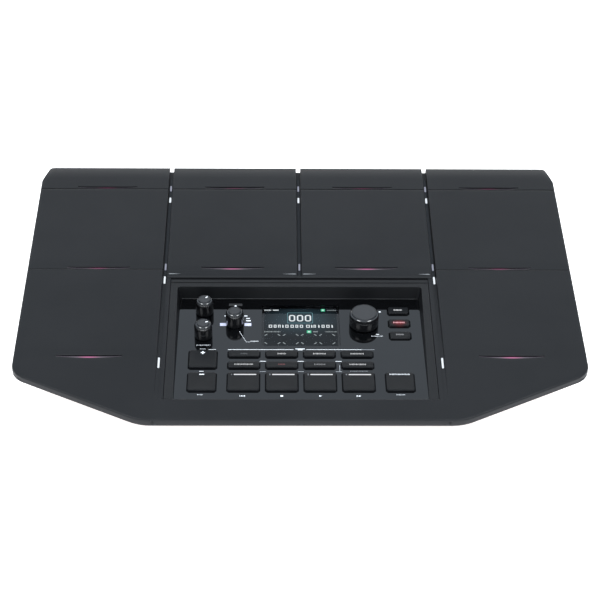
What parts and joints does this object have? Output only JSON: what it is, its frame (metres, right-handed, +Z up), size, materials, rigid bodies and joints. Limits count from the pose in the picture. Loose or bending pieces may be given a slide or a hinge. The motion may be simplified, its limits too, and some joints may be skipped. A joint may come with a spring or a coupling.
{
  "type": "electronic percussion pad",
  "caption": "Flat desktop percussion instrument: rubber playing zones on a sloped deck, light slots, a sunk control panel with display, keys and knobs, and rear sockets.",
  "frame": {"origin": "middle of the footprint, on the plane under the rubber feet", "axes": "+X to the player's right, +Y from the player to the rear sockets, +Z up"},
  "size_m": [0.5298, 0.3536, 0.0646],
  "materials": {
    "housing": "fine moulded texture",
    "pad_rubber": "matt skin with a fine grain",
    "bezel": "satin",
    "panel": "polished black",
    "lens": "clear smoked acrylic",
    "display": "lit screen in a dark frame",
    "keys": "satin",
    "knobs": "satin with a knurled shoulder",
    "pink_light": "glowing magenta light guide",
    "white_light": "glowing cool white light guide",
    "circuit_board": "solder mask",
    "component_case": "moulded",
    "metal_case": "plated sheet",
    "shaft_metal": "turned",
    "backing_plate": "zinc plated sheet",
    "sensor": "disc with a ceramic layer",
    "foam": "soft foam",
    "screw_steel": "black zinc",
    "insert_brass": "knurled insert",
    "jack_plastic": "moulded",
    "nut_metal": "nickel plated",
    "foot_rubber": "matt"
  },
  "bodies": {
    "root": {"upper_housing": "housing", "lower_housing": "housing", "recess_bezel": "bezel", "panel_plate": "panel", "display_lens": "lens", "display_module": "display", "panel_circuit_board": "circuit_board", "main_circuit_board": "circuit_board", "rim_pad_1": "pad_rubber", "rim_pad_2": "pad_rubber", "rim_pad_3": "pad_rubber", "rim_pad_4": "pad_rubber", "main_pad_1": "pad_rubber", "main_pad_2": "pad_rubber", "main_pad_3": "pad_rubber", "main_pad_4": "pad_rubber", "lower_pad_skin": "pad_rubber", "pad_backing_plates": "backing_plate", "pad_sensors": "sensor", "pad_sensor_foams": "foam", "slot_light_guides": "pink_light", "gap_light_guides": "white_light", "phone_jacks": "jack_plastic", "phone_jack_nuts": "nut_metal", "usb_ports": "metal_case", "dc_socket": "jack_plastic", "rubber_feet": "foot_rubber", "case_screws": "screw_steel", "stand_inserts": "insert_brass", "push_switches": "component_case", "pot_bodies": "metal_case", "encoder_body": "metal_case"},
    "plus_button": {"plus_button": "keys"},
    "minus_button": {"minus_button": "keys"},
    "cancel_button": {"cancel_button": "keys"},
    "menu_button_1": {"menu_button_1": "keys"},
    "menu_button_2": {"menu_button_2": "keys"},
    "menu_button_3": {"menu_button_3": "keys"},
    "menu_button_4": {"menu_button_4": "keys"},
    "menu_button_5": {"menu_button_5": "keys"},
    "menu_button_6": {"menu_button_6": "keys"},
    "menu_button_7": {"menu_button_7": "keys"},
    "menu_button_8": {"menu_button_8": "keys"},
    "track_button_1": {"track_button_1": "keys"},
    "track_button_2": {"track_button_2": "keys"},
    "track_button_3": {"track_button_3": "keys"},
    "track_button_4": {"track_button_4": "keys"},
    "page_button_1": {"page_button_1": "keys"},
    "page_button_2": {"page_button_2": "keys"},
    "page_button_3": {"page_button_3": "keys"},
    "level_knob": {"level_knob": "knobs", "level_shaft": "shaft_metal"},
    "phones_knob": {"phones_knob": "knobs", "phones_shaft": "shaft_metal"},
    "effect_knob": {"effect_knob": "knobs", "effect_shaft": "shaft_metal"},
    "dial_plunger": {"dial_plunger": "component_case"},
    "dial": {"dial_knob": "knobs", "dial_shaft": "shaft_metal"},
    "power_button": {"power_button": "keys"}
  },
  "joints": [
    {"name": "plus_button_press", "type": "slide", "parent": "root", "child": "plus_button", "axis": [0, 0, -1], "range_m": [0, 0.0008], "stiffness_N_per_m": 1500},
    {"name": "minus_button_press", "type": "slide", "parent": "root", "child": "minus_button", "axis": [0, 0, -1], "range_m": [0, 0.0008], "stiffness_N_per_m": 1500},
    {"name": "cancel_button_press", "type": "slide", "parent": "root", "child": "cancel_button", "axis": [0, 0, -1], "range_m": [0, 0.0008], "stiffness_N_per_m": 1500},
    {"name": "menu_button_1_press", "type": "slide", "parent": "root", "child": "menu_button_1", "axis": [0, 0, -1], "range_m": [0, 0.0008], "stiffness_N_per_m": 1500},
    {"name": "menu_button_2_press", "type": "slide", "parent": "root", "child": "menu_button_2", "axis": [0, 0, -1], "range_m": [0, 0.0008], "stiffness_N_per_m": 1500},
    {"name": "menu_button_3_press", "type": "slide", "parent": "root", "child": "menu_button_3", "axis": [0, 0, -1], "range_m": [0, 0.0008], "stiffness_N_per_m": 1500},
    {"name": "menu_button_4_press", "type": "slide", "parent": "root", "child": "menu_button_4", "axis": [0, 0, -1], "range_m": [0, 0.0008], "stiffness_N_per_m": 1500},
    {"name": "menu_button_5_press", "type": "slide", "parent": "root", "child": "menu_button_5", "axis": [0, 0, -1], "range_m": [0, 0.0008], "stiffness_N_per_m": 1500},
    {"name": "menu_button_6_press", "type": "slide", "parent": "root", "child": "menu_button_6", "axis": [0, 0, -1], "range_m": [0, 0.0008], "stiffness_N_per_m": 1500},
    {"name": "menu_button_7_press", "type": "slide", "parent": "root", "child": "menu_button_7", "axis": [0, 0, -1], "range_m": [0, 0.0008], "stiffness_N_per_m": 1500},
    {"name": "menu_button_8_press", "type": "slide", "parent": "root", "child": "menu_button_8", "axis": [0, 0, -1], "range_m": [0, 0.0008], "stiffness_N_per_m": 1500},
    {"name": "track_button_1_press", "type": "slide", "parent": "root", "child": "track_button_1", "axis": [0, 0, -1], "range_m": [0, 0.0008], "stiffness_N_per_m": 1500},
    {"name": "track_button_2_press", "type": "slide", "parent": "root", "child": "track_button_2", "axis": [0, 0, -1], "range_m": [0, 0.0008], "stiffness_N_per_m": 1500},
    {"name": "track_button_3_press", "type": "slide", "parent": "root", "child": "track_button_3", "axis": [0, 0, -1], "range_m": [0, 0.0008], "stiffness_N_per_m": 1500},
    {"name": "track_button_4_press", "type": "slide", "parent": "root", "child": "track_button_4", "axis": [0, 0, -1], "range_m": [0, 0.0008], "stiffness_N_per_m": 1500},
    {"name": "page_button_1_press", "type": "slide", "parent": "root", "child": "page_button_1", "axis": [0, 0, -1], "range_m": [0, 0.0008], "stiffness_N_per_m": 1500},
    {"name": "page_button_2_press", "type": "slide", "parent": "root", "child": "page_button_2", "axis": [0, 0, -1], "range_m": [0, 0.0008], "stiffness_N_per_m": 1500},
    {"name": "page_button_3_press", "type": "slide", "parent": "root", "child": "page_button_3", "axis": [0, 0, -1], "range_m": [0, 0.0008], "stiffness_N_per_m": 1500},
    {"name": "level_turn", "type": "hinge", "parent": "root", "child": "level_knob", "pos_m": [-0.0909, -0.02516, 0.03327], "axis": [0, 0, 1], "range_deg": [-115, 185]},
    {"name": "phones_turn", "type": "hinge", "parent": "root", "child": "phones_knob", "pos_m": [-0.091, -0.06076, 0.03327], "axis": [0, 0, 1], "range_deg": [-82, 218]},
    {"name": "effect_turn", "type": "hinge", "parent": "root", "child": "effect_knob", "pos_m": [-0.0619, -0.04256, 0.03327], "axis": [0, 0, 1], "continuous": true},
    {"name": "dial_press", "type": "slide", "parent": "root", "child": "dial_plunger", "axis": [0, 0, -1], "range_m": [0, 0.0006], "stiffness_N_per_m": 3500},
    {"name": "dial_turn", "type": "hinge", "parent": "dial_plunger", "child": "dial", "pos_m": [0.0606, -0.04266, 0.03327], "axis": [0, 0, 1], "continuous": true},
    {"name": "power_press", "type": "slide", "parent": "root", "child": "power_button", "axis": [0, -1, 0], "range_m": [0, 0.002], "stiffness_N_per_m": 900}
  ]
}
